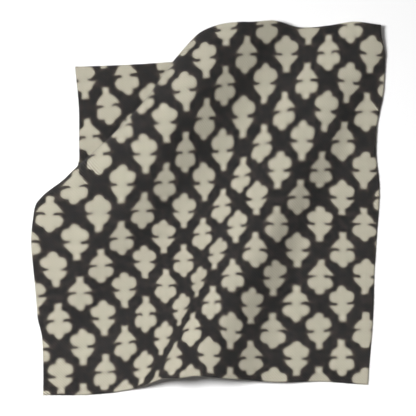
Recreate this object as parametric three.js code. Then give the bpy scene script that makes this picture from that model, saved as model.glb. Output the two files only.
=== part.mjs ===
// A cut length of printed cloth that lies in two loose folds on a flat surface.
// Millimetres, +Z up. The origin is on the surface, under the middle of the cloth's outline.
// The cloth is one closed sheet. A point of it is named by its place in the flat cloth:
// "across" runs over the folds from the upper left to the lower right, "along" runs with them.

import * as THREE from "three";

// Sizes of the sheet
const THICKNESS = 1.0;
const FOLD_TURN = 34; // degrees that the across direction points below +X

// Corners of the flat cloth as it was cut, [x, y]
const CUT = {
  topLeft: [-107.4, 104.7],
  topRight: [93.1, 98.1],
  bottomRight: [89.9, -98.6],
  bottomLeft: [-113.4, -94.2],
};

// How far each cut side wanders from its straight line between the corners, in rows of
// [share of the side passed, distance outwards]. The top and right sides run from the upper left.
const WANDER = {
  left: [[0.1, -0.4], [0.28, 2.6], [0.4, 2.9], [0.46, 0.6], [0.55, 2.8], [0.74, 3.1], [0.84, 0.6]],
  bottom: [[0.1, 0.4], [0.28, 0], [0.38, -1.2], [0.46, 0.2], [0.6, -1.3], [0.72, 0], [0.87, -1]],
  top: [[0.3, -1], [0.5, 0], [0.6, -0.8], [0.67, 0.2], [0.77, -3], [0.84, -1.6], [0.92, 1]],
  right: [[0.12, 4], [0.2, 4.4], [0.29, 1.7], [0.34, 1.9], [0.5, 5.3], [0.7, 2.3], [0.82, 1.8]],
};

// Lines of the folds, each by its place across the flat cloth, one row for each section along the folds
//   foot to nose    the wall that tucks under the big fold
//   shoulder, crest the turn above the nose and the top of the big fold
//   dip             its steepest fall
//   valley to toe   the hollow between the folds
//   rise, ridge     steepest rise and top of the second fold
//   fall, end       its steepest fall and the end of it
//   flat            where the cloth's last gentle slope meets the surface
const LINE_COLUMNS = [
  "along", "foot", "tuck", "nose", "shoulder", "crest", "dip",
  "valley", "toe", "rise", "ridge", "fall", "end", "flat",
];
const LINES = [
  [-137, -129, -120, -106, -97, -69, -49, -22, -7, 16, 47, 71, 93, 118],
  [-98, -127, -119, -106, -97, -68, -48, -22, -6, 18, 46, 70, 92, 118],
  [-61, -121, -115, -103, -95, -64, -47, -23, -5, 14, 40, 62, 87, 116],
  [-30, -116, -110, -99, -91, -62, -45, -24, -8, 9, 35, 53, 75, 107],
  [-2, -109, -103, -89, -81, -62, -44, -22, -9, 6, 31, 47, 65, 99],
  [26, -102, -96, -85, -75, -59, -41, -17, -9, 3, 24, 40, 55, 90],
  [54, -97, -92, -83, -71, -56, -38, -15, -8, 2, 22, 38, 52, 85],
  [82, -94, -88, -78, -66, -49, -34, -12, -6, 3, 22, 34, 46, 74],
  [115, -91, -84, -74, -61, -43, -30, -9, -4, 5, 20, 31, 41, 62],
];

// Heights of the cloth over the surface, and the slope in degrees at the shoulder
const HEIGHT_COLUMNS = ["along", "slope", "crest", "valley", "ridge", "end"];
const HEIGHTS = [
  [-137, 6, 0, 0, 16.5, 3],
  [-98, 9, 5, 3, 20, 4],
  [-61, 14, 12, 5.5, 21, 4],
  [-30, 20, 17.5, 6, 20, 3.5],
  [-2, 30, 21, 6, 18, 3],
  [26, 42, 22.5, 5.5, 15.5, 2.5],
  [54, 46, 22, 5, 13, 2],
  [82, 42, 18.5, 4, 9, 1.5],
  [115, 34, 11.5, 2, 5, 1],
];

// How far each line is drawn towards the lower right by the folds beyond it
const DRAWN_COLUMNS = ["along", "foot", "nose", "crest", "valley", "toe", "ridge", "end"];
const DRAWN = [
  [-137, 60.5, 24.5, 24, 23, 21, 2, 0.5],
  [-98, 56, 23, 22, 21, 19, 1, 0.5],
  [-61, 52, 21, 20.5, 18, 15.8, 0.2, 0],
  [-46, 51, 21.3, 20, 17.2, 15, 0.2, 0],
  [-30, 49.5, 24.2, 19.3, 16.3, 14, 0.3, 0],
  [-2, 46, 22, 18.7, 15.8, 12.2, 1.2, 0.3],
  [26, 41.8, 22.4, 15, 11.4, 9.8, 1.8, 0.5],
  [54, 36.5, 21.4, 10.5, 6.3, 6, 2.1, 0.5],
  [82, 32, 20, 7, 3.8, 3.5, 1, 0],
  [115, 28, 18, 5, 3, 2.5, 0.7, 0],
];

// How far each line is pulled along the folds, because the weave gives on the bias
const PULL_COLUMNS = [
  "along", "corner", "foot", "nose", "crest", "valley", "ridge", "fall", "flat",
];
const PULL = [
  [-137, 0, 0, 1, 1.5, 3.5, 4, 2, 0],
  [-98, 0, 0, -1, 1.9, 4.5, 4.2, 2, 0.5],
  [-61, 0, -2, -1.5, 1, 4.7, 2.6, -0.2, 0],
  [-30, 0, -2, 0, 1.6, 1.6, 1.9, -1.2, -0.6],
  [-2, -3, -1.5, 4.2, 3.8, -0.2, 1.2, 0, 0],
  [26, -3, -0.5, 3.3, 5, 0.4, 0.1, -0.6, -0.3],
  [54, -3, 0, 2, 7.5, 4.2, 1.5, -0.8, -2.2],
  [82, 0, 1, 3.5, 8.3, 6.7, 4.3, 1.5, -0.5],
  [115, 0, 2, 4.5, 8, 6.8, 5.5, 4, 1.5],
];
const PULLED_LINES = PULL_COLUMNS.slice(2);
const CORNER_PLACE = -150; // where the corner column of the pull is measured, across the cloth

// Spacing of the points across the folds: [from this place across, spacing]
const SPACING = [
  [-160, 5],
  [-122, 2],
  [-66, 3.4],
  [100, 6],
];
const SPACING_ALONG = 5.6;
const SECTION_EVERY = 2.5; // sections are worked out this far apart and blended between
const WALK_STEP = 0.4; // step along the cloth when a section is worked out
const FEWEST_STEPS = 4; // steps in the shortest stretch
const SWELL = 1; // how suddenly a fold's slope swells, 1 is a plain sine
const DIP_SWELL = 0.8; // the same for the big fold's long fall, which is more even
const RISE_SWELL = 3.5; // the same for the second fold's rise, which is short and steep
const STEEPEST = 85; // degrees, no slope outside the wall is steeper
const UPRIGHT = 90; // degrees
const LEAN = [50, 172]; // degrees, the least and most that the wall leans back
const HALVINGS = 40; // halvings when an angle is searched for
const NORMAL_REACH = 0.4; // the cloth's direction is measured over this far each way

const radians = (degrees) => (degrees * Math.PI) / 180;
const ACROSS = [Math.cos(radians(FOLD_TURN)), -Math.sin(radians(FOLD_TURN))];
const ALONG = [-ACROSS[1], ACROSS[0]];

// A smooth curve through the points (xs, ys) that never swings past them
function smoothCurve(xs, ys) {
  const last = xs.length - 1;
  const run = [];
  const slope = [];
  for (let i = 0; i < last; i += 1) {
    run.push(xs[i + 1] - xs[i]);
    slope.push((ys[i + 1] - ys[i]) / run[i]);
  }
  const tangent = new Array(xs.length).fill(0);
  for (let i = 1; i < last; i += 1) {
    if (slope[i - 1] * slope[i] > 0) {
      const before = 2 * run[i] + run[i - 1];
      const after = run[i] + 2 * run[i - 1];
      tangent[i] = (before + after) / (before / slope[i - 1] + after / slope[i]);
    }
  }
  return (x) => {
    if (x <= xs[0]) return ys[0];
    if (x >= xs[last]) return ys[last];
    let k = 0;
    while (x > xs[k + 1]) k += 1;
    const u = (x - xs[k]) / run[k];
    const v = 1 - u;
    const start = ys[k] * (1 + 2 * u) * v * v + run[k] * tangent[k] * u * v * v;
    const end = ys[k + 1] * u * u * (3 - 2 * u) - run[k] * tangent[k + 1] * u * u * v;
    return start + end;
  };
}

// Reads a table at any place along the folds, as an object with the column's names
function tableReader(columns, rows) {
  const places = rows.map((row) => row[0]);
  const curves = columns.slice(1).map((_, c) => smoothCurve(places, rows.map((row) => row[c + 1])));
  return (along) => Object.fromEntries(curves.map((curve, c) => [columns[c + 1], curve(along)]));
}

const linesAt = tableReader(LINE_COLUMNS, LINES);
const heightsAt = tableReader(HEIGHT_COLUMNS, HEIGHTS);
const drawnAt = tableReader(DRAWN_COLUMNS, DRAWN);
const pullAt = tableReader(PULL_COLUMNS, PULL);

// Finds where a rising function passes a target
function search(low, high, isBelow) {
  for (let i = 0; i < HALVINGS; i += 1) {
    const middle = (low + high) / 2;
    if (isBelow(middle)) low = middle;
    else high = middle;
  }
  return (low + high) / 2;
}

// The slopes of a stretch, one for each step from its right end to its left end
function slopesOf(left, right, slopeAt) {
  const count = Math.max(FEWEST_STEPS, Math.round((right - left) / WALK_STEP));
  const step = (right - left) / count;
  const slopes = [];
  for (let i = 0; i < count; i += 1) slopes.push(slopeAt(right - (i + 0.5) * step));
  return { step, slopes };
}

// A stretch whose slope swells and dies away, as steep as it has to be to climb the given height
function swellingStretch(left, peak, right, climb, swell = SWELL) {
  const power = Math.log(0.5) / Math.log((peak - left) / (right - left));
  const shape = (s) => Math.sin(Math.PI * ((s - left) / (right - left)) ** power) ** swell;
  const { step, slopes: shares } = slopesOf(left, right, shape);
  const climbAt = (steepness) => shares.reduce((sum, q) => sum + Math.sin(steepness * q), 0) * step;
  const steepness = search(0, radians(STEEPEST), (a) => climbAt(a) < Math.abs(climb));
  return { step, slopes: shares.map((q) => Math.sign(climb) * steepness * q) };
}

// The section of the cloth at one place along the folds, from the lower right to the upper left:
// lists of the place across the flat cloth, the place across the laid cloth, and the height
function sectionAt(along) {
  const line = linesAt(along);
  const height = heightsAt(along);
  const drawn = drawnAt(along);
  const section = { across: [line.flat], laid: [line.flat], height: [0] };

  // Adds a stretch and eases it, so that its left end lies where it is drawn to
  const add = ({ step, slopes }, laidEnd, climbEase) => {
    const last = section.across.length - 1;
    const plain = slopes.reduce((sum, slope) => sum + Math.cos(slope), 0) * step;
    const ease = climbEase ?? (section.laid[last] - laidEnd) / plain;
    slopes.forEach((slope) => {
      const at = section.across.length - 1;
      section.across.push(section.across[at] - step);
      section.laid.push(section.laid[at] - Math.cos(slope) * step * ease);
      section.height.push(section.height[at] - Math.sin(slope) * step * (climbEase ?? 1));
    });
  };

  const tail = swellingStretch(line.end, (line.end + line.flat) / 2, line.flat, -height.end);
  add(tail, line.end + drawn.end);
  const fall = swellingStretch(line.ridge, line.fall, line.end, height.end - height.ridge);
  add(fall, line.ridge + drawn.ridge);
  const riseClimb = height.ridge - height.valley;
  const rise = swellingStretch(line.toe, line.rise, line.ridge, riseClimb, RISE_SWELL);
  add(rise, line.toe + drawn.toe);
  add(slopesOf(line.valley, line.toe, () => 0), line.valley + drawn.valley);
  const dipClimb = height.valley - height.crest;
  const dip = swellingStretch(line.crest, line.dip, line.valley, dipClimb, DIP_SWELL);
  add(dip, line.crest + drawn.crest);

  const upright = radians(UPRIGHT);
  const shoulderSlope = smoothCurve(
    [line.nose, line.shoulder, line.crest],
    [upright, radians(height.slope), 0],
  );
  add(slopesOf(line.nose, line.crest, shoulderSlope), line.nose + drawn.nose);

  // The wall leans back under the nose as far as it has to, and comes down to the surface
  const noseHeight = Math.max(section.height.at(-1), THICKNESS);
  const back = (line.nose + drawn.nose - line.foot - drawn.foot) / noseHeight;
  const wall = (lean) => {
    const slope = smoothCurve([line.foot, line.tuck, line.nose], [0, lean, upright]);
    return slopesOf(line.foot, line.nose, slope);
  };
  const ratio = ({ slopes }) => {
    const run = slopes.reduce((sum, slope) => sum + Math.cos(slope), 0);
    const climb = slopes.reduce((sum, slope) => sum + Math.sin(slope), 0);
    return run / climb;
  };
  const lean = search(radians(LEAN[0]), radians(LEAN[1]), (a) => ratio(wall(a)) > back);
  const leaned = wall(lean);
  const climb = leaned.slopes.reduce((sum, slope) => sum + Math.sin(slope), 0) * leaned.step;
  add(leaned, null, noseHeight / climb);
  section.drift = section.laid.at(-1) - section.across.at(-1);
  return section;
}

const FIRST_SECTION = -140;
const LAST_SECTION = 118;
const sections = [];
for (let along = FIRST_SECTION; along <= LAST_SECTION; along += SECTION_EVERY) {
  sections.push(sectionAt(along));
}

// Reads one section at a place across the flat cloth: [place across the laid cloth, height]
function readSection(section, across) {
  const places = section.across;
  const last = places.length - 1;
  if (across >= places[0]) return [across, 0];
  if (across <= places[last]) return [across + section.drift, 0];
  let low = 0;
  let high = last;
  while (high - low > 1) {
    const middle = (low + high) >> 1;
    if (places[middle] > across) low = middle;
    else high = middle;
  }
  const u = (places[low] - across) / (places[low] - places[high]);
  const blend = (list) => list[low] + u * (list[high] - list[low]);
  return [blend(section.laid), blend(section.height)];
}

// Where a point of the flat cloth lies: the middle of the sheet's thickness
function laidPoint(across, along) {
  const place = (along - FIRST_SECTION) / SECTION_EVERY;
  const k = Math.min(Math.max(Math.floor(place), 0), sections.length - 2);
  const u = place - k;
  const a = readSection(sections[k], across);
  const b = readSection(sections[k + 1], across);
  const laid = a[0] + u * (b[0] - a[0]);
  const height = a[1] + u * (b[1] - a[1]);
  const line = linesAt(along);
  const pull = pullAt(along);
  const pulled = smoothCurve(
    [CORNER_PLACE, ...PULLED_LINES.map((name) => line[name])],
    [pull.corner, ...PULLED_LINES.map((name) => pull[name])],
  )(across);
  return new THREE.Vector3(
    laid * ACROSS[0] + (along + pulled) * ALONG[0],
    laid * ACROSS[1] + (along + pulled) * ALONG[1],
    height + THICKNESS / 2,
  );
}

// The cut outline in across and along
const toFolds = ([x, y]) => [x * ACROSS[0] + y * ACROSS[1], x * ALONG[0] + y * ALONG[1]];
const corner = Object.fromEntries(Object.entries(CUT).map(([name, at]) => [name, toFolds(at)]));

// A cut side from one corner to the next: gives the place along the folds at a place across them
function cutSide(start, end, wander, turn) {
  const run = [end[0] - start[0], end[1] - start[1]];
  const length = Math.hypot(run[0], run[1]);
  const outwards = (turn * run[0]) / length; // how much a step along the folds leads outwards
  const shares = [0, ...wander.map((row) => row[0]), 1];
  const wanderAt = smoothCurve(shares, [0, ...wander.map((row) => row[1]), 0]);
  return {
    start: start[0],
    end: end[0],
    alongAt: (across) => {
      const share = (across - start[0]) / run[0];
      return start[1] + share * run[1] + wanderAt(share) / outwards;
    },
  };
}

const leftSide = cutSide(corner.topLeft, corner.bottomLeft, WANDER.left, -1);
const bottomSide = cutSide(corner.bottomLeft, corner.bottomRight, WANDER.bottom, -1);
const topSide = cutSide(corner.topLeft, corner.topRight, WANDER.top, 1);
const rightSide = cutSide(corner.topRight, corner.bottomRight, WANDER.right, 1);
const lowAt = (across) => (across < leftSide.end ? leftSide : bottomSide).alongAt(across);
const highAt = (across) => (across < topSide.end ? topSide : rightSide).alongAt(across);

// Places across the cloth for its columns of points, with one at every corner
function columnPlaces() {
  const corners = [corner.topLeft, corner.bottomLeft, corner.topRight, corner.bottomRight];
  const stops = [...corners.map((at) => at[0]), ...SPACING.slice(1).map((row) => row[0])];
  stops.sort((a, b) => a - b);
  const places = [stops[0]];
  for (let i = 0; i < stops.length - 1; i += 1) {
    const spacing = SPACING.filter((row) => row[0] <= stops[i]).at(-1)[1];
    const count = Math.max(1, Math.round((stops[i + 1] - stops[i]) / spacing));
    for (let j = 1; j <= count; j += 1) {
      places.push(stops[i] + ((stops[i + 1] - stops[i]) * j) / count);
    }
  }
  return places;
}

// Columns of points of the flat cloth, from its upper left corner to its lower right corner
function clothColumns() {
  return columnPlaces().map((across) => {
    const low = lowAt(across);
    const high = highAt(across);
    const count = Math.round((high - low) / SPACING_ALONG);
    if (count === 0) return [{ across, along: (low + high) / 2 }];
    const column = [];
    for (let j = 0; j <= count; j += 1) {
      column.push({ across, along: low + ((high - low) * j) / count });
    }
    return column;
  });
}

// Triangles between two neighbouring columns, each next one over the shorter diagonal
function stitch(left, right, triangles) {
  let a = 0;
  let b = 0;
  while (a < left.length - 1 || b < right.length - 1) {
    const canLeft = a < left.length - 1;
    const canRight = b < right.length - 1;
    const leftGap = canLeft ? Math.abs(left[a + 1].along - right[b].along) : Infinity;
    const rightGap = canRight ? Math.abs(right[b + 1].along - left[a].along) : Infinity;
    if (leftGap < rightGap) {
      triangles.push([left[a].index, right[b].index, left[a + 1].index]);
      a += 1;
    } else {
      triangles.push([left[a].index, right[b].index, right[b + 1].index]);
      b += 1;
    }
  }
}

// The outward direction of the upper face at a point of the cloth
function upwards(across, along) {
  const reach = NORMAL_REACH;
  const over = laidPoint(across + reach, along).sub(laidPoint(across - reach, along));
  const beside = laidPoint(across, along + reach).sub(laidPoint(across, along - reach));
  return over.cross(beside).normalize();
}

function clothGeometry() {
  const columns = clothColumns();
  const points = columns.flat();
  points.forEach((point, index) => {
    point.index = index;
  });
  const upper = [];
  const lower = [];
  points.forEach(({ across, along }) => {
    const middle = laidPoint(across, along);
    const half = upwards(across, along).multiplyScalar(THICKNESS / 2);
    upper.push(middle.clone().add(half));
    lower.push(middle.clone().sub(half));
  });

  const triangles = [];
  for (let i = 0; i < columns.length - 1; i += 1) stitch(columns[i], columns[i + 1], triangles);

  // The cut edge, once round the cloth, anticlockwise from above
  const lowEnds = columns.map((column) => column[0].index);
  const highEnds = columns.map((column) => column.at(-1).index);
  const rim = [...lowEnds, ...highEnds.slice(1, -1).reverse()];

  const under = points.length;
  const index = [];
  triangles.forEach(([a, b, c]) => index.push(a, b, c, under + a, under + c, under + b));
  rim.forEach((a, i) => {
    const b = rim[(i + 1) % rim.length];
    index.push(a, under + a, b, b, under + a, under + b);
  });

  const geometry = new THREE.BufferGeometry().setFromPoints([...upper, ...lower]);
  geometry.setIndex(index);
  geometry.computeBoundingBox();
  const centre = geometry.boundingBox.getCenter(new THREE.Vector3());
  geometry.translate(-centre.x, -centre.y, 0);
  geometry.computeVertexNormals();
  return geometry;
}

const printedCloth = new THREE.MeshStandardMaterial({
  color: 0x6f6c66,
  roughness: 0.92,
  metalness: 0,
  side: THREE.DoubleSide,
});

const cloth = new THREE.Mesh(clothGeometry(), printedCloth);
cloth.name = "printed_cloth";

const group = new THREE.Group();
group.add(cloth);

export default group;
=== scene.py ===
"""A cut length of printed cloth that lies in two loose folds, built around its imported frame."""

import math

import bpy
import numpy as np
from bpy.props import FloatProperty, FloatVectorProperty, IntProperty, PointerProperty
from mathutils import Matrix, Vector


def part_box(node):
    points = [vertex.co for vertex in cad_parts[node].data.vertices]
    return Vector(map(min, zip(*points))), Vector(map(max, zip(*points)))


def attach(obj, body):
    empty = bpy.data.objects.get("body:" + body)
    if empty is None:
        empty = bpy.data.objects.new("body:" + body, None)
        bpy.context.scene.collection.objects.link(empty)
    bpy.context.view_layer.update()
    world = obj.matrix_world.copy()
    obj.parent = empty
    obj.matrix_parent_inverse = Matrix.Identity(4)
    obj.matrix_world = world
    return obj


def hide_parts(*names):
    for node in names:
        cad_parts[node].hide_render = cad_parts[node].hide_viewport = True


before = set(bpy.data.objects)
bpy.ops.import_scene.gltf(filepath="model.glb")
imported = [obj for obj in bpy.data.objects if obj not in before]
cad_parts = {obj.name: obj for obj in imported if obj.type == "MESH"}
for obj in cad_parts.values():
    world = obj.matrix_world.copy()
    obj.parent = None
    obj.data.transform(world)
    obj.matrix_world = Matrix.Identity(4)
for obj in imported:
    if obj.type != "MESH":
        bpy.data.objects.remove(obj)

bl_info = {
    "name": "Folded length of printed cloth",
    "version": (1, 0, 0),
    "blender": (4, 5, 0),
    "location": "3D View > Sidebar > Cloth",
    "description": "Builds a cut length of printed cloth lying in two loose folds",
    "category": "Object",
}

CLOTH_NODE = "printed_cloth"
BODY = "root"
SHEET_NAME = "cloth_sheet"
YARN_NAME = "loose_yarn_ends"
MM = 0.001

# The flat cloth and its folds, in millimetres.
# "across" runs over the folds from the upper left to the lower right, "along" runs with them.
FOLD_TURN = math.radians(34)
ACROSS = np.array([math.cos(FOLD_TURN), -math.sin(FOLD_TURN)])
ALONG = np.array([math.sin(FOLD_TURN), math.cos(FOLD_TURN)])

CUT = {
    "top_left": (-107.4, 104.7),
    "top_right": (93.1, 98.1),
    "bottom_right": (89.9, -98.6),
    "bottom_left": (-113.4, -94.2),
}

# Each cut side: its two corners, which way is outwards, and rows of (share passed, distance outwards)
SIDES = {
    "left": (
        "top_left", "bottom_left", -1,
        [(0.1, -0.4), (0.28, 2.6), (0.4, 2.9), (0.46, 0.6), (0.55, 2.8), (0.74, 3.1), (0.84, 0.6)],
    ),
    "bottom": (
        "bottom_left", "bottom_right", -1,
        [(0.1, 0.4), (0.28, 0), (0.38, -1.2), (0.46, 0.2), (0.6, -1.3), (0.72, 0), (0.87, -1)],
    ),
    "top": (
        "top_left", "top_right", 1,
        [(0.3, -1), (0.5, 0), (0.6, -0.8), (0.67, 0.2), (0.77, -3), (0.84, -1.6), (0.92, 1)],
    ),
    "right": (
        "top_right", "bottom_right", 1,
        [(0.12, 4), (0.2, 4.4), (0.29, 1.7), (0.34, 1.9), (0.5, 5.3), (0.7, 2.3), (0.82, 1.8)],
    ),
}

LINE_COLUMNS = (
    "along", "foot", "tuck", "nose", "shoulder", "crest", "dip",
    "valley", "toe", "rise", "ridge", "fall", "end", "flat",
)
LINES = (
    (-137, -129, -120, -106, -97, -69, -49, -22, -7, 16, 47, 71, 93, 118),
    (-98, -127, -119, -106, -97, -68, -48, -22, -6, 18, 46, 70, 92, 118),
    (-61, -121, -115, -103, -95, -64, -47, -23, -5, 14, 40, 62, 87, 116),
    (-30, -116, -110, -99, -91, -62, -45, -24, -8, 9, 35, 53, 75, 107),
    (-2, -109, -103, -89, -81, -62, -44, -22, -9, 6, 31, 47, 65, 99),
    (26, -102, -96, -85, -75, -59, -41, -17, -9, 3, 24, 40, 55, 90),
    (54, -97, -92, -83, -71, -56, -38, -15, -8, 2, 22, 38, 52, 85),
    (82, -94, -88, -78, -66, -49, -34, -12, -6, 3, 22, 34, 46, 74),
    (115, -91, -84, -74, -61, -43, -30, -9, -4, 5, 20, 31, 41, 62),
)
HEIGHT_COLUMNS = ("along", "slope", "crest", "valley", "ridge", "end")
HEIGHTS = (
    (-137, 6, 0, 0, 16.5, 3),
    (-98, 9, 5, 3, 20, 4),
    (-61, 14, 12, 5.5, 21, 4),
    (-30, 20, 17.5, 6, 20, 3.5),
    (-2, 30, 21, 6, 18, 3),
    (26, 42, 22.5, 5.5, 15.5, 2.5),
    (54, 46, 22, 5, 13, 2),
    (82, 42, 18.5, 4, 9, 1.5),
    (115, 34, 11.5, 2, 5, 1),
)
DRAWN_COLUMNS = ("along", "foot", "nose", "crest", "valley", "toe", "ridge", "end")
DRAWN = (
    (-137, 60.5, 24.5, 24, 23, 21, 2, 0.5),
    (-98, 56, 23, 22, 21, 19, 1, 0.5),
    (-61, 52, 21, 20.5, 18, 15.8, 0.2, 0),
    (-46, 51, 21.3, 20, 17.2, 15, 0.2, 0),
    (-30, 49.5, 24.2, 19.3, 16.3, 14, 0.3, 0),
    (-2, 46, 22, 18.7, 15.8, 12.2, 1.2, 0.3),
    (26, 41.8, 22.4, 15, 11.4, 9.8, 1.8, 0.5),
    (54, 36.5, 21.4, 10.5, 6.3, 6, 2.1, 0.5),
    (82, 32, 20, 7, 3.8, 3.5, 1, 0),
    (115, 28, 18, 5, 3, 2.5, 0.7, 0),
)
PULL_COLUMNS = ("along", "corner", "foot", "nose", "crest", "valley", "ridge", "fall", "flat")
PULL = (
    (-137, 0, 0, 1, 1.5, 3.5, 4, 2, 0),
    (-98, 0, 0, -1, 1.9, 4.5, 4.2, 2, 0.5),
    (-61, 0, -2, -1.5, 1, 4.7, 2.6, -0.2, 0),
    (-30, 0, -2, 0, 1.6, 1.6, 1.9, -1.2, -0.6),
    (-2, -3, -1.5, 4.2, 3.8, -0.2, 1.2, 0, 0),
    (26, -3, -0.5, 3.3, 5, 0.4, 0.1, -0.6, -0.3),
    (54, -3, 0, 2, 7.5, 4.2, 1.5, -0.8, -2.2),
    (82, 0, 1, 3.5, 8.3, 6.7, 4.3, 1.5, -0.5),
    (115, 0, 2, 4.5, 8, 6.8, 5.5, 4, 1.5),
)
CORNER_PLACE = -150
SWELL = 1.0
DIP_SWELL = 0.8
RISE_SWELL = 3.5
STEEPEST = math.radians(85)
LEAN = (math.radians(50), math.radians(172))
UPRIGHT = math.radians(90)
HALVINGS = 40
WALK_STEP = 0.4
FEWEST_STEPS = 4
SECTIONS_FROM, SECTIONS_TO, SECTION_EVERY = -142.0, 120.0, 1.0
PLACES_FROM, PLACES_TO, PLACE_EVERY = -170.0, 150.0, 0.25

# The print, in millimetres in the flat cloth: sprigs in columns, each half a row lower than the last
COLUMN_EVERY = 12.746
ROW_EVERY = 30.184
COLUMN_DROP = ROW_EVERY / 2
FIRST_SPRIG = (-116.07, -8.218)

# One sprig, flower up, in millimetres from its middle. Discs are (across, up, radius).
SIDE_PETAL = (3.75, 3.6, 3.3)
TOP_PETAL = (0.0, 7.0, 2.85)
HEART = (0.0, 3.9, 3.4)
LEAF_LOW, LEAF_WIDEST = -6.2, -1.2
LEAF_ROOT, LEAF_SPREAD, LEAF_ROUNDNESS = 1.75, 5.0, 0.55
LEAF_FLANK = 0.7
LEAF_DROOP, LEAF_TOP, LEAF_BASE = -0.1, -0.55, -6.4
STEM_HALF, STEM_FOOT, STEM_HEAD = 1.95, -10.0, -5.0
NECK_FOOT, NECK_HEAD = -2.0, 1.5

# The UV map holds the place in the flat cloth, over a square this many millimetres wide
UV_NAME = "flat_cloth"
UV_SPAN = 256.0

PALE_REVERSE = (0.3, 0.27, 0.25, 1.0)
INKED_YARN = (0.1, 0.09, 0.08, 1.0)
MATT_SPECULAR = 0.2
SHEEN_ROUGHNESS = 0.5
WEAVE_BUMP, WEAVE_RELIEF = 0.55, 0.12

# Yarn ends: a cone of three sides and three rings, in millimetres
YARN_SEED = 7
YARN_SHARE = 0.55
YARN_SIDES = 3
YARN_RADII = (0.16, 0.17, 0.12)
YARN_RINGS = len(YARN_RADII)
YARN_POINTS = YARN_SIDES * YARN_RINGS + 1
YARN_ROOT = 0.6
YARN_SHORTEST, YARN_LONGER, YARN_FALL_OFF = 0.15, 0.75, 2.2
YARN_STRAY, YARN_LIFT = 0.35, 0.12
YARN_BEND = 0.6
YARN_HEIGHT = 0.3
LOWEST_YARN = 0.12
TANGENT_STEP = 0.3
SHARE_STEP = 0.004

# The stage, in metres: the lights' places, what they face and how wide they are
KEY_PLACE, KEY_AIM, KEY_SIZE = (-0.42, 0.12, 1.05), (0, -1.6, 0), 0.4
FILL_PLACE, FILL_AIM, FILL_SIZE = (0.9, 0.9, 0.55), (0, 0, 0), 0.5
FLOOR_SIZE = 6.0
FLOOR_SPECULAR = 0.1
# Middle of the view, in the flat cloth's millimetres
VIEW_MIDDLE = (-0.11, -0.22)


def smooth_curve(xs, ys):
    """A smooth curve through the points (xs, ys) that never swings past them"""
    xs = np.asarray(xs, float)
    ys = np.asarray(ys, float)
    run = np.diff(xs)
    slope = np.diff(ys) / run
    tangent = np.zeros_like(xs)
    for i in range(1, len(xs) - 1):
        if slope[i - 1] * slope[i] > 0:
            before = 2 * run[i] + run[i - 1]
            after = run[i] + 2 * run[i - 1]
            tangent[i] = (before + after) / (before / slope[i - 1] + after / slope[i])

    def curve(x):
        x = np.clip(x, xs[0], xs[-1])
        k = np.clip(np.searchsorted(xs, x, side="right") - 1, 0, len(run) - 1)
        u = (x - xs[k]) / run[k]
        v = 1 - u
        start = ys[k] * (1 + 2 * u) * v * v + run[k] * tangent[k] * u * v * v
        end = ys[k + 1] * u * u * (3 - 2 * u) - run[k] * tangent[k + 1] * u * u * v
        return start + end

    return curve


def table_reader(columns, rows):
    """Reads a table at any place along the folds, as a dict with the columns' names"""
    places = [row[0] for row in rows]
    curves = {
        name: smooth_curve(places, [row[c] for row in rows])
        for c, name in enumerate(columns)
        if c > 0
    }
    return lambda along: {name: float(curve(along)) for name, curve in curves.items()}


lines_at = table_reader(LINE_COLUMNS, LINES)
heights_at = table_reader(HEIGHT_COLUMNS, HEIGHTS)
drawn_at = table_reader(DRAWN_COLUMNS, DRAWN)
pull_at = table_reader(PULL_COLUMNS, PULL)


def search(low, high, is_below):
    """Finds where a rising function passes a target"""
    for _ in range(HALVINGS):
        middle = (low + high) / 2
        if is_below(middle):
            low = middle
        else:
            high = middle
    return (low + high) / 2


def stretch_places(left, right):
    """The step and the middles of the steps of a stretch, from its right end to its left end"""
    count = max(FEWEST_STEPS, round((right - left) / WALK_STEP))
    step = (right - left) / count
    return step, right - (np.arange(count) + 0.5) * step


def swelling_stretch(left, peak, right, climb, swell=SWELL):
    """A stretch whose slope swells and dies away, as steep as it has to be to climb the given height"""
    power = math.log(0.5) / math.log((peak - left) / (right - left))
    step, places = stretch_places(left, right)
    share = np.sin(math.pi * ((places - left) / (right - left)) ** power) ** swell
    steepness = search(0, STEEPEST, lambda a: np.sin(a * share).sum() * step < abs(climb))
    return step, math.copysign(1, climb) * steepness * share


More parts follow.
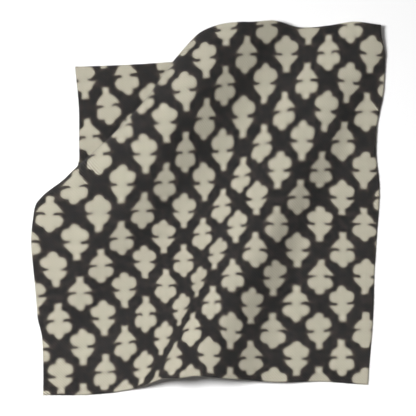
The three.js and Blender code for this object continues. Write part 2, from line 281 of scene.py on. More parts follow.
class Section:
    """The section at one place along the folds, walked from the lower right to the upper left"""

    def __init__(self, along):
        line, height, drawn = lines_at(along), heights_at(along), drawn_at(along)
        self.line = line
        self.across = [line["flat"]]
        self.laid = [line["flat"]]
        self.height = [0.0]

        middle = (line["end"] + line["flat"]) / 2
        self.add(
            swelling_stretch(line["end"], middle, line["flat"], -height["end"]),
            line["end"] + drawn["end"],
        )
        fall = height["end"] - height["ridge"]
        self.add(
            swelling_stretch(line["ridge"], line["fall"], line["end"], fall),
            line["ridge"] + drawn["ridge"],
        )
        rise = height["ridge"] - height["valley"]
        self.add(
            swelling_stretch(line["toe"], line["rise"], line["ridge"], rise, RISE_SWELL),
            line["toe"] + drawn["toe"],
        )
        step, places = stretch_places(line["valley"], line["toe"])
        self.add((step, np.zeros(len(places))), line["valley"] + drawn["valley"])
        dip = height["valley"] - height["crest"]
        self.add(
            swelling_stretch(line["crest"], line["dip"], line["valley"], dip, DIP_SWELL),
            line["crest"] + drawn["crest"],
        )
        shoulder = smooth_curve(
            (line["nose"], line["shoulder"], line["crest"]),
            (UPRIGHT, math.radians(height["slope"]), 0),
        )
        step, places = stretch_places(line["nose"], line["crest"])
        self.add((step, shoulder(places)), line["nose"] + drawn["nose"])
        self.add_wall(line, drawn)
        self.drift = self.laid[-1] - self.across[-1]

    def add(self, stretch, laid_end, climb_ease=None):
        """Adds a stretch and eases it, so that its left end lies where it is drawn to"""
        step, slopes = stretch
        plain = np.cos(slopes).sum() * step
        ease = climb_ease or (self.laid[-1] - laid_end) / plain
        self.across += list(self.across[-1] - step * np.arange(1, len(slopes) + 1))
        self.laid += list(self.laid[-1] - np.cumsum(np.cos(slopes)) * step * ease)
        self.height += list(self.height[-1] - np.cumsum(np.sin(slopes)) * step * (climb_ease or 1))

    def add_wall(self, line, drawn):
        """The wall leans back under the nose as far as it has to, and comes down to the surface"""
        nose_height = max(self.height[-1], 1.0)
        back = (line["nose"] + drawn["nose"] - line["foot"] - drawn["foot"]) / nose_height
        step, places = stretch_places(line["foot"], line["nose"])

        def wall(lean):
            return smooth_curve((line["foot"], line["tuck"], line["nose"]), (0, lean, UPRIGHT))(places)

        def run_over_climb(lean):
            slopes = wall(lean)
            return np.cos(slopes).sum() / np.sin(slopes).sum()

        slopes = wall(search(*LEAN, lambda a: run_over_climb(a) > back))
        climb = np.sin(slopes).sum() * step
        self.add((step, slopes), None, nose_height / climb)

    def sampled(self, places):
        """Laid place and height at places across the flat cloth"""
        across = np.array(self.across)[::-1]
        laid = np.interp(places, across, np.array(self.laid)[::-1])
        height = np.interp(places, across, np.array(self.height)[::-1])
        laid = np.where(places > across[-1], places, laid)
        laid = np.where(places < across[0], places + self.drift, laid)
        outside = (places > across[-1]) | (places < across[0])
        return laid, np.where(outside, 0, height)


def fold_tables():
    """Laid place, height and pull of the cloth over a fine net of sections and places across"""
    places = np.arange(PLACES_FROM, PLACES_TO + PLACE_EVERY, PLACE_EVERY)
    rows = []
    for along in np.arange(SECTIONS_FROM, SECTIONS_TO + SECTION_EVERY, SECTION_EVERY):
        section = Section(along)
        line, pull = section.line, pull_at(along)
        knots = ("foot", "nose", "crest", "valley", "ridge", "fall", "flat")
        pulled = smooth_curve(
            (CORNER_PLACE, *(line[k] for k in knots)),
            (pull["corner"], *(pull[k] for k in knots)),
        )(places)
        rows.append((*section.sampled(places), pulled))
    return np.array(rows)


def laid_points(tables, flat):
    """Where points of the flat cloth lie: the middle of the sheet's thickness, in millimetres"""
    across = flat @ ACROSS
    along = flat @ ALONG
    row = (along - SECTIONS_FROM) / SECTION_EVERY
    column = (across - PLACES_FROM) / PLACE_EVERY
    r = np.clip(np.floor(row).astype(int), 0, len(tables) - 2)
    c = np.clip(np.floor(column).astype(int), 0, tables.shape[2] - 2)
    u = (row - r)[:, None]
    v = (column - c)[:, None]

    def corner(i, j):
        return tables[r + i, :, c + j]

    read = (1 - u) * ((1 - v) * corner(0, 0) + v * corner(0, 1))
    read += u * ((1 - v) * corner(1, 0) + v * corner(1, 1))
    plan = read[:, :1] * ACROSS + (along + read[:, 2])[:, None] * ALONG
    return np.column_stack([plan, read[:, 1]])


def side_point(name, share):
    """A point of a cut side of the flat cloth, at a share of the way along it"""
    start, end, turn, wander = SIDES[name]
    start, end = np.array(CUT[start]), np.array(CUT[end])
    run = end - start
    outwards = turn * (run @ ACROSS) / np.hypot(*run)
    shares = (0, *(row[0] for row in wander), 1)
    strays = smooth_curve(shares, (0, *(row[1] for row in wander), 0))(share) / outwards
    return start + share[:, None] * run + strays[:, None] * ALONG


def flat_net(cells):
    """A net of points over the flat cloth, rows from the bottom to the top"""
    share = np.linspace(0, 1, cells + 1)
    top, bottom = side_point("top", share), side_point("bottom", share)
    left, right = side_point("left", 1 - share), side_point("right", 1 - share)
    u = share[None, :, None]
    v = share[:, None, None]
    ruled = (1 - v) * bottom[None] + v * top[None] + (1 - u) * left[:, None] + u * right[:, None]
    corners = (1 - v) * ((1 - u) * bottom[0] + u * bottom[-1]) + v * ((1 - u) * top[0] + u * top[-1])
    return (ruled - corners).reshape(-1, 2)


# Node building

class NodeSheet:
    """Adds nodes to one tree and links them, with short calls for the usual ones"""

    def __init__(self, tree):
        self.tree = tree

    def add(self, kind, **settings):
        node = self.tree.nodes.new(kind)
        node.location = (180 * (len(self.tree.nodes) % 12), -200 * (len(self.tree.nodes) // 12))
        for name, value in settings.items():
            setattr(node, name, value)
        return node

    def put(self, socket, value):
        if isinstance(value, bpy.types.NodeSocket):
            self.tree.links.new(value, socket)
        else:
            socket.default_value = value

    def math(self, operation, *values, clamp=False):
        node = self.add("ShaderNodeMath", operation=operation, use_clamp=clamp)
        for socket, value in zip(node.inputs, values):
            self.put(socket, value)
        return node.outputs[0]

    def vector(self, operation, *values):
        node = self.add("ShaderNodeVectorMath", operation=operation)
        for socket, value in zip(node.inputs, values):
            self.put(socket, value)
        return node.outputs["Value" if operation == "DISTANCE" else "Vector"]

    def split(self, vector):
        node = self.add("ShaderNodeSeparateXYZ")
        self.put(node.inputs[0], vector)
        return node.outputs[0], node.outputs[1]

    def join(self, x, y, z=0.0):
        node = self.add("ShaderNodeCombineXYZ")
        for socket, value in zip(node.inputs, (x, y, z)):
            self.put(socket, value)
        return node.outputs[0]

    def ramp(self, value, low, high, to_low=0.0, to_high=1.0, smooth=True):
        node = self.add("ShaderNodeMapRange")
        node.interpolation_type = "SMOOTHSTEP" if smooth else "LINEAR"
        for socket, given in zip(node.inputs, (value, low, high, to_low, to_high)):
            self.put(socket, given)
        return node.outputs[0]

    def noise(self, vector, scale, detail=2.0, roughness=0.5, colour=False):
        node = self.add("ShaderNodeTexNoise")
        self.put(node.inputs["Vector"], vector)
        node.inputs["Scale"].default_value = scale
        node.inputs["Detail"].default_value = detail
        node.inputs["Roughness"].default_value = roughness
        return node.outputs["Color" if colour else "Fac"]

    def mix(self, share, first, second, blend="MIX"):
        node = self.add("ShaderNodeMix", data_type="RGBA", blend_type=blend)
        self.put(node.inputs["Factor"], share)
        self.put(node.inputs["A"], first)
        self.put(node.inputs["B"], second)
        return node.outputs["Result"]

    def group(self, tree, **values):
        node = self.add("ShaderNodeGroup", node_tree=tree)
        for name, value in values.items():
            self.put(node.inputs[name], value)
        return node.outputs


def new_group(name, inputs, outputs):
    """A shader node group with named sockets: its sheet, its inputs and its output node"""
    tree = bpy.data.node_groups.new(name, "ShaderNodeTree")
    for label, kind, default in inputs:
        socket = tree.interface.new_socket(name=label, in_out="INPUT", socket_type=kind)
        if default is not None:
            socket.default_value = default
    for label, kind in outputs:
        tree.interface.new_socket(name=label, in_out="OUTPUT", socket_type=kind)
    sheet = NodeSheet(tree)
    return sheet, sheet.add("NodeGroupInput").outputs, sheet.add("NodeGroupOutput").inputs


FLOAT, VECTOR = "NodeSocketFloat", "NodeSocketVector"


def sprig_group():
    """The outline of one sprig, flower up: distance from it in millimetres, less than 0 inside"""
    sheet, given, out = new_group(
        "sprig_outline", [("Place", VECTOR, None), ("Neck", FLOAT, 2.4)], [("Distance", FLOAT)]
    )
    x, y = sheet.split(given["Place"])
    side = sheet.math("ABSOLUTE", x)
    place = sheet.join(side, y)

    def disc(cx, cy, radius):
        return sheet.math("SUBTRACT", sheet.vector("DISTANCE", place, (cx, cy, 0)), radius)

    def joined(first, second, fillet):
        return sheet.math("SMOOTH_MIN", first, second, fillet)

    def bar(half_width, low, high):
        beside = sheet.math("SUBTRACT", side, half_width)
        over = sheet.math("MAXIMUM", sheet.math("SUBTRACT", y, high), sheet.math("SUBTRACT", low, y))
        return sheet.math("MAXIMUM", beside, over)

    # flower: two side petals, a top petal and the heart between them
    flower = joined(disc(*SIDE_PETAL), disc(*TOP_PETAL), 0.9)
    flower = joined(flower, disc(*HEART), 0.6)
    # leaves: a pair with a round lower side and a drawn-out tip
    share = sheet.ramp(y, LEAF_LOW, LEAF_WIDEST, smooth=False)
    rounded = sheet.math("POWER", share, LEAF_ROUNDNESS)
    half_width = sheet.math("MULTIPLY_ADD", rounded, LEAF_SPREAD, LEAF_ROOT)
    beside = sheet.math("MULTIPLY", sheet.math("SUBTRACT", side, half_width), LEAF_FLANK)
    top = sheet.math("MULTIPLY_ADD", side, LEAF_DROOP, LEAF_TOP)
    over = sheet.math("SUBTRACT", y, top)
    under = sheet.math("SUBTRACT", LEAF_BASE, y)
    leaves = sheet.math("SMOOTH_MAX", beside, sheet.math("MAXIMUM", over, under), 0.4)
    stem = bar(STEM_HALF, STEM_FOOT, STEM_HEAD)
    neck = bar(given["Neck"], NECK_FOOT, NECK_HEAD)
    lower = joined(joined(leaves, stem, 0.5), neck, 0.3)
    sheet.put(out["Distance"], joined(flower, lower, 0.35))
    return sheet.tree


def column_group(sprig):
    """The nearest sprig of one column of the print, every second one upside down"""
    sheet, given, out = new_group(
        "sprig_column", [("Place", VECTOR, None), ("Column", FLOAT, 0)], [("Distance", FLOAT)]
    )
    x, y = sheet.split(given["Place"])
    column = given["Column"]
    column_x = sheet.math("MULTIPLY_ADD", column, COLUMN_EVERY, FIRST_SPRIG[0])
    column_y = sheet.math("MULTIPLY_ADD", column, COLUMN_DROP, FIRST_SPRIG[1])
    below = sheet.math("DIVIDE", sheet.math("SUBTRACT", column_y, y), ROW_EVERY)
    row = sheet.math("ROUND", below)
    sprig_y = sheet.math("SUBTRACT", column_y, sheet.math("MULTIPLY", row, ROW_EVERY))
    stamp = sheet.add("ShaderNodeTexWhiteNoise", noise_dimensions="2D")
    sheet.put(stamp.inputs["Vector"], sheet.join(column, row))
    stray = sheet.vector("SUBTRACT", stamp.outputs["Color"], (0.5, 0.5, 0.5))
    stray = sheet.vector("MULTIPLY", stray, (0.5, 0.5, 0))
    away = sheet.join(sheet.math("SUBTRACT", x, column_x), sheet.math("SUBTRACT", y, sprig_y))
    away = sheet.vector("SUBTRACT", away, stray)
    turned = sheet.add("ShaderNodeVectorRotate", rotation_type="Z_AXIS")
    sheet.put(turned.inputs["Vector"], away)
    tilt = sheet.math("MULTIPLY", sheet.math("SUBTRACT", stamp.outputs["Value"], 0.5), 0.1)
    odd = sheet.math("FLOORED_MODULO", row, 2.0)
    half_turn = sheet.math("MULTIPLY", sheet.math("SUBTRACT", 1.0, odd), math.pi)
    sheet.put(turned.inputs["Angle"], sheet.math("ADD", tilt, half_turn))
    neck = sheet.math("MULTIPLY_ADD", odd, 0.5, 2.3)
    outline = sheet.group(sprig, Place=turned.outputs[0], Neck=neck)
    sheet.put(out["Distance"], outline["Distance"])
    return sheet.tree


def print_group(column):
    """The block print: how much of the pale sprig shows, and the stained line round it"""
    sheet, given, out = new_group(
        "block_print",
        [("Place", VECTOR, None), ("Wobble", FLOAT, 0.5), ("Softness", FLOAT, 0.3)],
        [("Sprig", FLOAT), ("Stain", FLOAT)],
    )
    x, _ = sheet.split(given["Place"])
    passed = sheet.math("DIVIDE", sheet.math("SUBTRACT", x, FIRST_SPRIG[0]), COLUMN_EVERY)
    first = sheet.math("FLOOR", passed)
    second = sheet.math("ADD", first, 1.0)
    near = sheet.group(column, Place=given["Place"], Column=first)["Distance"]
    other = sheet.group(column, Place=given["Place"], Column=second)["Distance"]
    distance = sheet.math("MINIMUM", near, other)
    rough = sheet.noise(given["Place"], 0.36, 3.0, 0.6)
    wobble = sheet.math("MULTIPLY", sheet.math("SUBTRACT", rough, 0.5), given["Wobble"])
    distance = sheet.math("MULTIPLY_ADD", wobble, 2.0, distance)
    soft = given["Softness"]
    sheet.put(out["Sprig"], sheet.ramp(distance, soft, sheet.math("MULTIPLY", soft, -1.0)))
    inside = sheet.ramp(distance, -0.9, 0.0)
    outside = sheet.ramp(distance, 1.5, 0.2)
    sheet.put(out["Stain"], sheet.math("MULTIPLY", inside, outside))
    return sheet.tree


def weave_group():
    """Plain weave: the height and tone of the yarns, with slubs and the slanting rib they make"""
    sheet, given, out = new_group(
        "plain_weave",
        [("Place", VECTOR, None), ("Yarn spacing", FLOAT, 0.79)],
        [("Height", FLOAT), ("Tone", FLOAT), ("Fleck", FLOAT)],
    )
    sway = sheet.noise(given["Place"], 0.12, 1.0, 0.5, colour=True)
    sway = sheet.vector("SUBTRACT", sway, (0.5, 0.5, 0.5))
    place = sheet.vector("ADD", given["Place"], sheet.vector("MULTIPLY", sway, (1.6, 1.6, 0)))
    x, y = sheet.split(place)
    turn = sheet.math("DIVIDE", math.pi, given["Yarn spacing"])
    warp = sheet.math("SINE", sheet.math("MULTIPLY", x, turn))
    weft = sheet.math("SINE", sheet.math("MULTIPLY", y, turn))
    over = sheet.math("MULTIPLY", warp, weft)
    rib = sheet.math("SINE", sheet.math("MULTIPLY", sheet.math("ADD", x, y), turn))
    warp_slub = sheet.noise(sheet.vector("MULTIPLY", place, (1.3, 0.06, 1)), 1.0, 2.0, 0.6)
    weft_slub = sheet.noise(sheet.vector("MULTIPLY", place, (0.06, 1.3, 1)), 1.0, 2.0, 0.6)
    slub = sheet.math("SUBTRACT", sheet.math("ADD", warp_slub, weft_slub), 1.0)
    height = sheet.math("MULTIPLY_ADD", over, 0.5, sheet.math("MULTIPLY", rib, 0.35))
    height = sheet.math("MULTIPLY_ADD", slub, 0.6, height)
    sheet.put(out["Height"], height)
    tone = sheet.math("MULTIPLY_ADD", rib, 1.3, sheet.math("MULTIPLY", over, 0.3))
    sheet.put(out["Tone"], sheet.math("MULTIPLY_ADD", slub, 0.8, tone))
    fleck_place = sheet.vector("MULTIPLY", place, (0.85, 0.85, 1))
    sheet.put(out["Fleck"], sheet.noise(fleck_place, 1.0, 2.0, 0.6))
    return sheet.tree


def mottle_group():
    """Uneven dye: broad cloudy patches and small blotches"""
    sheet, given, out = new_group(
        "dye_mottle", [("Place", VECTOR, None)], [("Broad", FLOAT), ("Blotch", FLOAT)]
    )
    sheet.put(out["Broad"], sheet.noise(given["Place"], 0.035, 3.0, 0.55))
    sheet.put(out["Blotch"], sheet.noise(given["Place"], 0.26, 3.0, 0.65))
    return sheet.tree


def flat_place(sheet):
    """The place in the flat cloth, in millimetres, from the piece's own UV map"""
    uv = sheet.add("ShaderNodeUVMap", uv_map=UV_NAME).outputs[0]
    return sheet.vector("MULTIPLY", sheet.vector("SUBTRACT", uv, (0.5, 0.5, 0)), (UV_SPAN, UV_SPAN, 0))


def face_material(name, groups, colours, strength, roughness, sheen):
    """A printed face. colours are of the ground, its brown cast, the sprig and the stain."""
    material = bpy.data.materials.new(name)
    material.use_nodes = True
    sheet = NodeSheet(material.node_tree)
    shader = material.node_tree.nodes["Principled BSDF"]
    ground, cast, sprig, stain = colours
    place = flat_place(sheet)
    printed = sheet.group(groups["print"], Place=place, Wobble=1.15, Softness=0.2)
    weave = sheet.group(groups["weave"], Place=place)
    mottle = sheet.group(groups["mottle"], Place=place)

    dyed = sheet.mix(sheet.ramp(mottle["Blotch"], 0.42, 0.7), ground, cast)
    dyed_share = sheet.math("MULTIPLY_ADD", mottle["Broad"], 1.1, 0.5)
    dyed = sheet.mix(1.0, dyed, sheet.join(dyed_share, dyed_share, dyed_share), "MULTIPLY")
    pale_share = sheet.math("MULTIPLY_ADD", mottle["Blotch"], 0.16, 0.92)
    pale = sheet.mix(1.0, sprig, sheet.join(pale_share, pale_share, pale_share), "MULTIPLY")
    colour = sheet.mix(sheet.math("MULTIPLY", printed["Sprig"], strength), dyed, pale)
    colour = sheet.mix(sheet.math("MULTIPLY", printed["Stain"], 0.3 * strength), colour, stain)
    dark_tone = sheet.math("MULTIPLY_ADD", weave["Tone"], 0.9, 1.0)
    pale_tone = sheet.math("MULTIPLY_ADD", weave["Tone"], 0.6, 1.0)
    tone = sheet.ramp(printed["Sprig"], 0.0, 1.0, dark_tone, pale_tone, smooth=False)
    dark_fleck = sheet.ramp(weave["Fleck"], 0.3, 0.7, 0.45, 1.65, smooth=False)
    pale_fleck = sheet.ramp(weave["Fleck"], 0.3, 0.7, 0.9, 1.1, smooth=False)
    fleck = sheet.ramp(printed["Sprig"], 0.0, 1.0, dark_fleck, pale_fleck, smooth=False)
    tone = sheet.math("MULTIPLY", tone, fleck)
    colour = sheet.mix(1.0, colour, sheet.join(tone, tone, tone), "MULTIPLY")
    sheet.put(shader.inputs["Base Color"], colour)

    rough = sheet.math("MULTIPLY_ADD", weave["Fleck"], 0.08, roughness - 0.04)
    sheet.put(shader.inputs["Roughness"], rough)
    bump = sheet.add("ShaderNodeBump")
    bump.inputs["Strength"].default_value = WEAVE_BUMP
    bump.inputs["Distance"].default_value = WEAVE_RELIEF * MM
    sheet.put(bump.inputs["Height"], weave["Height"])
    sheet.put(shader.inputs["Normal"], bump.outputs[0])
    shader.inputs["Specular IOR Level"].default_value = MATT_SPECULAR
    shader.inputs["Sheen Weight"].default_value = sheen
    shader.inputs["Sheen Roughness"].default_value = SHEEN_ROUGHNESS
    return material


def yarn_material(name, groups, pale, dark):
    """Cut yarn ends and the raw edge: undyed cores with some ink on them"""
    material = bpy.data.materials.new(name)
    material.use_nodes = True
    sheet = NodeSheet(material.node_tree)
    shader = material.node_tree.nodes["Principled BSDF"]
    place = flat_place(sheet)
    printed = sheet.group(groups["print"], Place=place, Wobble=0.5, Softness=0.6)
    inked = sheet.math("SUBTRACT", 1.0, sheet.math("MULTIPLY", printed["Sprig"], 0.9))
    grain = sheet.noise(place, 1.1, 2.0, 0.6)
    inked = sheet.math("MULTIPLY", inked, sheet.ramp(grain, 0.3, 0.6, 0.7, 1.0), clamp=True)
    sheet.put(shader.inputs["Base Color"], sheet.mix(inked, pale, dark))
    rough = sheet.ramp(grain, 0.2, 0.8, 0.85, 0.95, smooth=False)
    sheet.put(shader.inputs["Roughness"], rough)
    shader.inputs["Specular IOR Level"].default_value = MATT_SPECULAR
    return material


# Pieces

def mesh_object(name, points, faces, flat_places):
    """A mesh object at the origin, its points in metres, with the flat cloth's places as its UV map"""
    mesh = bpy.data.meshes.new(name)
    mesh.from_pydata([tuple(p) for p in points], [], faces)
    uv = mesh.uv_layers.new(name=UV_NAME)
    corners = np.empty(len(mesh.loops), dtype=np.int32)
    mesh.loops.foreach_get("vertex_index", corners)
    uv.data.foreach_set("uv", (flat_places[corners] / UV_SPAN + 0.5).ravel())
    mesh.shade_smooth()
    piece = bpy.data.objects.new(name, mesh)
    bpy.context.scene.collection.objects.link(piece)
    return piece


def only(piece):
    """Makes a piece the only selected one and the active one"""
    bpy.ops.object.select_all(action="DESELECT")
    piece.select_set(True)
    bpy.context.view_layer.objects.active = piece


def middle_of(box):
    """The middle of a box in plan"""
    low, high = Vector(box[0]), Vector(box[1])
    return (low + high) / 2


def piece_box(piece):
    """Lowest and highest corner of a mesh"""
    places = np.empty(len(piece.data.vertices) * 3)
    piece.data.vertices.foreach_get("co", places)
    places = places.reshape(-1, 3)
    return places.min(axis=0), places.max(axis=0)


class ClothSettings(bpy.types.PropertyGroup):
    """Sizes and colours of the cloth"""

    thickness: FloatProperty(
        name="Thickness", description="Thickness of the cloth", default=0.0006, unit="LENGTH",
        min=0.0002, max=0.002, precision=5,
    )
    cells: IntProperty(
        name="Cells", description="Cells of the sheet's net along each side", default=208,
        min=20, max=215,
    )
    yarn_spacing: FloatProperty(
        name="Yarn spacing", description="Distance from yarn to yarn", default=0.00079, unit="LENGTH",
        precision=5,
    )
    ground: FloatVectorProperty(
        name="Ground", description="Dyed ground", default=(0.0165, 0.0157, 0.0157), subtype="COLOR",
        min=0, max=1,
    )
    ground_cast: FloatVectorProperty(
        name="Ground cast", description="Browner patches of the ground", default=(0.034, 0.0285, 0.026),
        subtype="COLOR", min=0, max=1,
    )
    sprig: FloatVectorProperty(
        name="Sprig", description="Undyed sprigs", default=(0.43, 0.40, 0.32), subtype="COLOR",
        min=0, max=1,
    )
    stain: FloatVectorProperty(
        name="Stain", description="Stained line round the sprigs", default=(0.13, 0.105, 0.08),
        subtype="COLOR", min=0, max=1,
    )


class StageSettings(bpy.types.PropertyGroup):
    """Camera, floor and lights"""

    camera_height: FloatProperty(
        name="Camera height", description="Height of the camera over the cloth", default=2.4,
        unit="LENGTH",
    )
    view_width: FloatProperty(
        name="View width", description="Width of the surface in view", default=0.23296, unit="LENGTH",
    )
    key_power: FloatProperty(
        name="Key light", description="Power of the light from high on the left", default=23.0,
        unit="POWER",
    )
    fill_power: FloatProperty(
        name="Fill light", description="Power of the low light from the upper right", default=2.0,
        unit="POWER",
    )
    surround: FloatProperty(
        name="Surround", description="Brightness of the even light from all round", default=0.1,
    )
    floor: FloatVectorProperty(
        name="Floor", description="Pale floor", default=(0.95, 0.95, 0.95), subtype="COLOR",
        min=0, max=1,
    )


class CLOTH_OT_build_sheet(bpy.types.Operator):
    """Builds the printed sheet in its folds, with its print and weave"""

    bl_idname = "cloth.build_sheet"
    bl_label = "Build the printed cloth"

    def execute(self, context):
        settings = context.scene.printed_cloth
        flat = flat_net(settings.cells)
        points = laid_points(fold_tables(), flat) * MM
        points[:, 2] += settings.thickness / 2
        row = settings.cells + 1
        faces = [
            (r * row + c, r * row + c + 1, (r + 1) * row + c + 1, (r + 1) * row + c)
            for r in range(settings.cells)
            for c in range(settings.cells)
        ]
        cloth = mesh_object(SHEET_NAME, points, faces, flat)

        groups = {
            "print": print_group(column_group(sprig_group())),
            "weave": weave_group(),
            "mottle": mottle_group(),
        }
        chosen = (settings.ground, settings.ground_cast, settings.sprig, settings.stain)
        ground, cast, sprig, stain = ((*colour, 1.0) for colour in chosen)
        face = face_material("printed_face", groups, (ground, cast, sprig, stain), 1.0, 0.88, 0.04)
        pale = (PALE_REVERSE, cast, sprig, stain)
        reverse = face_material("printed_reverse", groups, pale, 0.8, 0.9, 0.04)
        edge = yarn_material("cut_edge", groups, sprig, INKED_YARN)
        for material in (face, reverse, edge):
            cloth.data.materials.append(material)

        only(cloth)
        solid = cloth.modifiers.new("thickness", "SOLIDIFY")
        solid.thickness = settings.thickness
        solid.offset = 0.0
        solid.material_offset = 1
        solid.material_offset_rim = 2
        bpy.ops.object.modifier_apply(modifier=solid.name)
        shift = middle_of(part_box(CLOTH_NODE)) - middle_of(piece_box(cloth))
        cloth.data.transform(Matrix.Translation((shift.x, shift.y, 0)))
        context.scene["cloth_shift"] = (shift.x, shift.y)

        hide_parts(CLOTH_NODE)
        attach(cloth, BODY)
        return {"FINISHED"}


class CLOTH_OT_add_yarn_ends(bpy.types.Operator):
    """Adds the short yarn ends that stand out of the raw cut edges"""

    bl_idname = "cloth.add_yarn_ends"
    bl_label = "Add the loose yarn ends"

    def execute(self, context):
        settings = context.scene.printed_cloth
        random = np.random.default_rng(YARN_SEED)
        tables = fold_tables()
        spacing = settings.yarn_spacing / MM
        points, faces, places = [], [], []
        for name, (start, end, _, _) in SIDES.items():
            length = np.hypot(*(np.array(CUT[end]) - np.array(CUT[start])))
            share = (np.arange(0.5, length / spacing) * spacing / length)[:-1]
            share = share[random.random(len(share)) < YARN_SHARE]
            edge = side_point(name, share)
            before = side_point(name, np.maximum(share - SHARE_STEP, 0))
            ahead = side_point(name, np.minimum(share + SHARE_STEP, 1)) - before
            ahead /= np.linalg.norm(ahead, axis=1)[:, None]
            # Square to the side: outwards on the left, bottom and top, but inwards on the right,
            # where the blunt roots show and the tips lie inside the sheet
            turn = -1 if name == "top" else 1
            square = np.column_stack([ahead[:, 1], -ahead[:, 0]]) * turn
            root = laid_points(tables, edge)
            inner = laid_points(tables, edge - square * YARN_ROOT)
            away = root - inner
            away /= np.linalg.norm(away, axis=1)[:, None]
            tangent = laid_points(tables, edge + ahead * TANGENT_STEP)
            tangent -= laid_points(tables, edge - ahead * TANGENT_STEP)
            tangent /= np.linalg.norm(tangent, axis=1)[:, None]
            for i in range(len(edge)):
                reach = YARN_SHORTEST + YARN_LONGER * random.random() ** YARN_FALL_OFF
                stray = random.normal(0, YARN_STRAY)
                lift = random.normal(0, YARN_LIFT)
                direction = away[i] + tangent[i] * stray
                add_yarn_end(points, faces, root[i], inner[i], direction, reach, lift)
                places += [edge[i]] * YARN_POINTS
        points = np.array(points)
        points[:, 2] = np.maximum(points[:, 2], LOWEST_YARN)
        points *= MM
        points[:, :2] += np.array(context.scene["cloth_shift"])
        ends = mesh_object(YARN_NAME, points, faces, np.array(places))
        ends.data.materials.append(bpy.data.materials["cut_edge"])
        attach(ends, BODY)
        return {"FINISHED"}


def add_yarn_end(points, faces, root, inner, direction, reach, lift):
    """One yarn end: a short bent cone from the inner place, past the root, to its tip"""
    first = len(points)
    side = np.cross(direction, (0, 0, 1.0))
    side /= np.linalg.norm(side)
    up = np.cross(side, direction)
    up /= np.linalg.norm(up)
    middle = np.array([0, 0, YARN_HEIGHT])
    bend = root + middle + direction * reach * YARN_BEND + up * lift * reach
    spine = (inner + middle, root + middle, bend)
    for centre, radius in zip(spine, YARN_RADII):
        for k in range(YARN_SIDES):
            angle = 2 * math.pi * k / YARN_SIDES
            points.append(centre + (side * math.cos(angle) + up * math.sin(angle)) * radius)
    points.append(root + middle + direction * reach + up * lift * reach * 2)
    for ring in range(YARN_RINGS - 1):
        for k in range(YARN_SIDES):
            a = first + ring * YARN_SIDES + k
            b = first + ring * YARN_SIDES + (k + 1) % YARN_SIDES
            faces.append((a, b, b + YARN_SIDES, a + YARN_SIDES))
    last = first + (YARN_RINGS - 1) * YARN_SIDES
    tip = first + YARN_POINTS - 1
    for k in range(YARN_SIDES):
        faces.append((last + k, last + (k + 1) % YARN_SIDES, tip))
    faces.append(tuple(first + k for k in reversed(range(YARN_SIDES))))


def area_light(name, place, aim, size, power):
    """A soft square light at a place, facing a point"""
    light = bpy.data.lights.new(name, "AREA")
    light.shape = "SQUARE"
    light.size = size
    light.energy = power
    lamp = bpy.data.objects.new(name, light)
    lamp.location = place
    lamp.rotation_euler = (Vector(aim) - Vector(place)).to_track_quat("-Z", "Y").to_euler()
    bpy.context.scene.collection.objects.link(lamp)


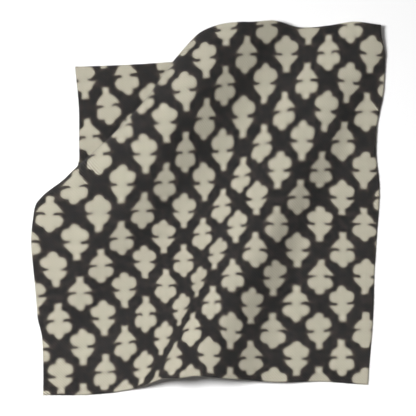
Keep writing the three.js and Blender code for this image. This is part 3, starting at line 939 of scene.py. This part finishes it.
class CLOTH_OT_set_stage(bpy.types.Operator):
    """Adds the pale floor, the soft lights and the camera straight above"""

    bl_idname = "cloth.set_stage"
    bl_label = "Set the stage"

    def execute(self, context):
        settings = context.scene.cloth_stage
        bpy.ops.object.select_all(action="DESELECT")
        bpy.ops.mesh.primitive_plane_add(size=FLOOR_SIZE, location=(0, 0, 0))
        floor = context.object
        floor.name = "floor"
        material = bpy.data.materials.new("floor_paint")
        material.use_nodes = True
        sheet = NodeSheet(material.node_tree)
        shader = material.node_tree.nodes["Principled BSDF"]
        place = sheet.add("ShaderNodeTexCoord").outputs["Object"]
        grain = sheet.ramp(sheet.noise(place, 30.0, 2.0), 0.0, 1.0, 0.55, 0.65, smooth=False)
        shader.inputs["Base Color"].default_value = (*settings.floor, 1.0)
        sheet.put(shader.inputs["Roughness"], grain)
        shader.inputs["Specular IOR Level"].default_value = FLOOR_SPECULAR
        floor.data.materials.append(material)

        area_light("key_light", KEY_PLACE, KEY_AIM, KEY_SIZE, settings.key_power)
        area_light("fill_light", FILL_PLACE, FILL_AIM, FILL_SIZE, settings.fill_power)

        world = bpy.data.worlds.new("studio_surround")
        world.use_nodes = True
        surround = world.node_tree.nodes["Background"]
        surround.inputs["Color"].default_value = (1.0, 1.0, 1.0, 1.0)
        surround.inputs["Strength"].default_value = settings.surround
        context.scene.world = world

        lens = bpy.data.cameras.new("camera_above")
        lens.sensor_fit = "HORIZONTAL"
        lens.lens = lens.sensor_width * settings.camera_height / settings.view_width
        camera = bpy.data.objects.new("camera_above", lens)
        shift = context.scene["cloth_shift"]
        camera.location = (
            VIEW_MIDDLE[0] * MM + shift[0],
            VIEW_MIDDLE[1] * MM + shift[1],
            settings.camera_height,
        )
        context.scene.collection.objects.link(camera)
        context.scene.camera = camera
        context.scene.view_settings.view_transform = "Standard"
        return {"FINISHED"}


class CLOTH_PT_panel(bpy.types.Panel):
    """Lists the steps that build the cloth and its stage"""

    bl_idname = "CLOTH_PT_panel"
    bl_label = "Printed cloth"
    bl_space_type = "VIEW_3D"
    bl_region_type = "UI"
    bl_category = "Cloth"

    def draw(self, context):
        for group in (context.scene.printed_cloth, context.scene.cloth_stage):
            column = self.layout.column(align=True)
            for name in type(group).__annotations__:
                column.prop(group, name)
        for operator in OPERATORS:
            self.layout.operator(operator.bl_idname)


OPERATORS = (CLOTH_OT_build_sheet, CLOTH_OT_add_yarn_ends, CLOTH_OT_set_stage)
CLASSES = (ClothSettings, StageSettings, *OPERATORS, CLOTH_PT_panel)


def register():
    for each in CLASSES:
        bpy.utils.register_class(each)
    bpy.types.Scene.printed_cloth = PointerProperty(type=ClothSettings)
    bpy.types.Scene.cloth_stage = PointerProperty(type=StageSettings)


def unregister():
    del bpy.types.Scene.cloth_stage
    del bpy.types.Scene.printed_cloth
    for each in reversed(CLASSES):
        bpy.utils.unregister_class(each)


def main():
    register()
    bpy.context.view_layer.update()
    bpy.ops.cloth.build_sheet()
    bpy.ops.cloth.add_yarn_ends()
    bpy.ops.cloth.set_stage()


if __name__ == "__main__":
    main()
